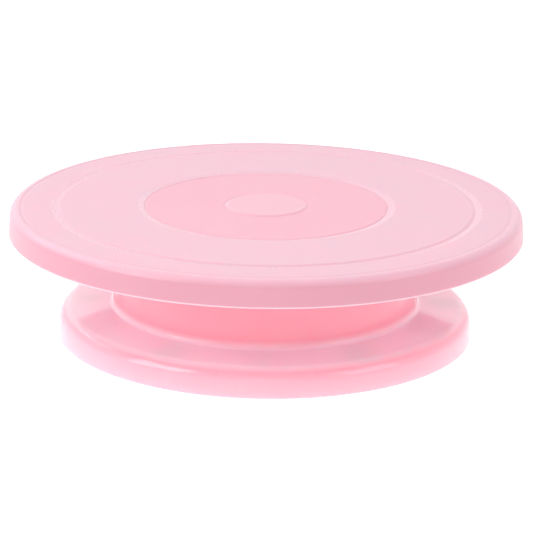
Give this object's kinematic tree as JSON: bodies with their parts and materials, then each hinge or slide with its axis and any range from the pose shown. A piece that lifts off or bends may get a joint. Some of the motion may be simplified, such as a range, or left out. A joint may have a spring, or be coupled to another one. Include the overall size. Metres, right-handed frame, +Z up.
{
  "type": "cake turntable",
  "caption": "Round cake turntable: a wide skirted plate with shallow rings spins on caged balls over a hollow, waisted base with a broad rounded flange and rubber foot pads.",
  "frame": {"origin": "on the turning axis, at the level of the foot pads' undersides", "axes": "+Z up along the turning axis; +X through the first foot pad and the first ball"},
  "size_m": [0.2816, 0.2816, 0.072],
  "materials": {
    "plate_plastic": "satin moulded polypropylene, pale pink",
    "base_plastic": "glossy moulded polypropylene, pale pink",
    "cage_plastic": "natural acetal, as moulded",
    "ball_steel": "polished bearing steel",
    "zinc_steel": "bright zinc plate",
    "pad_rubber": "matt, light grey"
  },
  "bodies": {
    "base": {"base_foot": "base_plastic", "base_drum": "base_plastic", "bearing_deck": "base_plastic", "foot_pad_1": "pad_rubber", "foot_pad_2": "pad_rubber", "foot_pad_3": "pad_rubber", "foot_pad_4": "pad_rubber", "foot_pad_5": "pad_rubber", "foot_pad_6": "pad_rubber"},
    "plate": {"turntable_plate": "plate_plastic", "retaining_washer": "zinc_steel", "retaining_screw": "zinc_steel"},
    "cage": {"ball_cage": "cage_plastic"},
    "ball_01": {"bearing_ball_01": "ball_steel"},
    "ball_02": {"bearing_ball_02": "ball_steel"},
    "ball_03": {"bearing_ball_03": "ball_steel"},
    "ball_04": {"bearing_ball_04": "ball_steel"},
    "ball_05": {"bearing_ball_05": "ball_steel"},
    "ball_06": {"bearing_ball_06": "ball_steel"},
    "ball_07": {"bearing_ball_07": "ball_steel"},
    "ball_08": {"bearing_ball_08": "ball_steel"},
    "ball_09": {"bearing_ball_09": "ball_steel"},
    "ball_10": {"bearing_ball_10": "ball_steel"},
    "ball_11": {"bearing_ball_11": "ball_steel"},
    "ball_12": {"bearing_ball_12": "ball_steel"},
    "ball_13": {"bearing_ball_13": "ball_steel"},
    "ball_14": {"bearing_ball_14": "ball_steel"},
    "ball_15": {"bearing_ball_15": "ball_steel"},
    "ball_16": {"bearing_ball_16": "ball_steel"},
    "ball_17": {"bearing_ball_17": "ball_steel"},
    "ball_18": {"bearing_ball_18": "ball_steel"},
    "ball_19": {"bearing_ball_19": "ball_steel"},
    "ball_20": {"bearing_ball_20": "ball_steel"}
  },
  "joints": [
    {"name": "plate_spin", "type": "hinge", "parent": "base", "child": "plate", "pos_m": [0, 0, 0.0655], "axis": [0, 0, 1], "continuous": true},
    {"name": "cage_spin", "type": "hinge", "parent": "base", "child": "cage", "pos_m": [0, 0, 0.0655], "axis": [0, 0, 1], "continuous": true},
    {"name": "ball_01_roll", "type": "hinge", "parent": "cage", "child": "ball_01", "pos_m": [0.062, 0, 0.0655], "axis": [-1, 0, 0], "continuous": true},
    {"name": "ball_02_roll", "type": "hinge", "parent": "cage", "child": "ball_02", "pos_m": [0.05897, 0.01916, 0.0655], "axis": [-0.9511, -0.309, 0], "continuous": true},
    {"name": "ball_03_roll", "type": "hinge", "parent": "cage", "child": "ball_03", "pos_m": [0.05016, 0.03644, 0.0655], "axis": [-0.809, -0.5878, 0], "continuous": true},
    {"name": "ball_04_roll", "type": "hinge", "parent": "cage", "child": "ball_04", "pos_m": [0.03644, 0.05016, 0.0655], "axis": [-0.5878, -0.809, 0], "continuous": true},
    {"name": "ball_05_roll", "type": "hinge", "parent": "cage", "child": "ball_05", "pos_m": [0.01916, 0.05897, 0.0655], "axis": [-0.309, -0.9511, 0], "continuous": true},
    {"name": "ball_06_roll", "type": "hinge", "parent": "cage", "child": "ball_06", "pos_m": [0, 0.062, 0.0655], "axis": [0, -1, 0], "continuous": true},
    {"name": "ball_07_roll", "type": "hinge", "parent": "cage", "child": "ball_07", "pos_m": [-0.01916, 0.05897, 0.0655], "axis": [0.309, -0.9511, 0], "continuous": true},
    {"name": "ball_08_roll", "type": "hinge", "parent": "cage", "child": "ball_08", "pos_m": [-0.03644, 0.05016, 0.0655], "axis": [0.5878, -0.809, 0], "continuous": true},
    {"name": "ball_09_roll", "type": "hinge", "parent": "cage", "child": "ball_09", "pos_m": [-0.05016, 0.03644, 0.0655], "axis": [0.809, -0.5878, 0], "continuous": true},
    {"name": "ball_10_roll", "type": "hinge", "parent": "cage", "child": "ball_10", "pos_m": [-0.05897, 0.01916, 0.0655], "axis": [0.9511, -0.309, 0], "continuous": true},
    {"name": "ball_11_roll", "type": "hinge", "parent": "cage", "child": "ball_11", "pos_m": [-0.062, 0, 0.0655], "axis": [1, 0, 0], "continuous": true},
    {"name": "ball_12_roll", "type": "hinge", "parent": "cage", "child": "ball_12", "pos_m": [-0.05897, -0.01916, 0.0655], "axis": [0.9511, 0.309, 0], "continuous": true},
    {"name": "ball_13_roll", "type": "hinge", "parent": "cage", "child": "ball_13", "pos_m": [-0.05016, -0.03644, 0.0655], "axis": [0.809, 0.5878, 0], "continuous": true},
    {"name": "ball_14_roll", "type": "hinge", "parent": "cage", "child": "ball_14", "pos_m": [-0.03644, -0.05016, 0.0655], "axis": [0.5878, 0.809, 0], "continuous": true},
    {"name": "ball_15_roll", "type": "hinge", "parent": "cage", "child": "ball_15", "pos_m": [-0.01916, -0.05897, 0.0655], "axis": [0.309, 0.9511, 0], "continuous": true},
    {"name": "ball_16_roll", "type": "hinge", "parent": "cage", "child": "ball_16", "pos_m": [0, -0.062, 0.0655], "axis": [0, 1, 0], "continuous": true},
    {"name": "ball_17_roll", "type": "hinge", "parent": "cage", "child": "ball_17", "pos_m": [0.01916, -0.05897, 0.0655], "axis": [-0.309, 0.9511, 0], "continuous": true},
    {"name": "ball_18_roll", "type": "hinge", "parent": "cage", "child": "ball_18", "pos_m": [0.03644, -0.05016, 0.0655], "axis": [-0.5878, 0.809, 0], "continuous": true},
    {"name": "ball_19_roll", "type": "hinge", "parent": "cage", "child": "ball_19", "pos_m": [0.05016, -0.03644, 0.0655], "axis": [-0.809, 0.5878, 0], "continuous": true},
    {"name": "ball_20_roll", "type": "hinge", "parent": "cage", "child": "ball_20", "pos_m": [0.05897, -0.01916, 0.0655], "axis": [-0.9511, 0.309, 0], "continuous": true}
  ],
  "couplings": [
    {"joint": "cage_spin", "follows": "plate_spin", "ratio": 0.5},
    {"joint": "ball_01_roll", "follows": "plate_spin", "ratio": 10.333},
    {"joint": "ball_02_roll", "follows": "plate_spin", "ratio": 10.333},
    {"joint": "ball_03_roll", "follows": "plate_spin", "ratio": 10.333},
    {"joint": "ball_04_roll", "follows": "plate_spin", "ratio": 10.333},
    {"joint": "ball_05_roll", "follows": "plate_spin", "ratio": 10.333},
    {"joint": "ball_06_roll", "follows": "plate_spin", "ratio": 10.333},
    {"joint": "ball_07_roll", "follows": "plate_spin", "ratio": 10.333},
    {"joint": "ball_08_roll", "follows": "plate_spin", "ratio": 10.333},
    {"joint": "ball_09_roll", "follows": "plate_spin", "ratio": 10.333},
    {"joint": "ball_10_roll", "follows": "plate_spin", "ratio": 10.333},
    {"joint": "ball_11_roll", "follows": "plate_spin", "ratio": 10.333},
    {"joint": "ball_12_roll", "follows": "plate_spin", "ratio": 10.333},
    {"joint": "ball_13_roll", "follows": "plate_spin", "ratio": 10.333},
    {"joint": "ball_14_roll", "follows": "plate_spin", "ratio": 10.333},
    {"joint": "ball_15_roll", "follows": "plate_spin", "ratio": 10.333},
    {"joint": "ball_16_roll", "follows": "plate_spin", "ratio": 10.333},
    {"joint": "ball_17_roll", "follows": "plate_spin", "ratio": 10.333},
    {"joint": "ball_18_roll", "follows": "plate_spin", "ratio": 10.333},
    {"joint": "ball_19_roll", "follows": "plate_spin", "ratio": 10.333},
    {"joint": "ball_20_roll", "follows": "plate_spin", "ratio": 10.333}
  ]
}
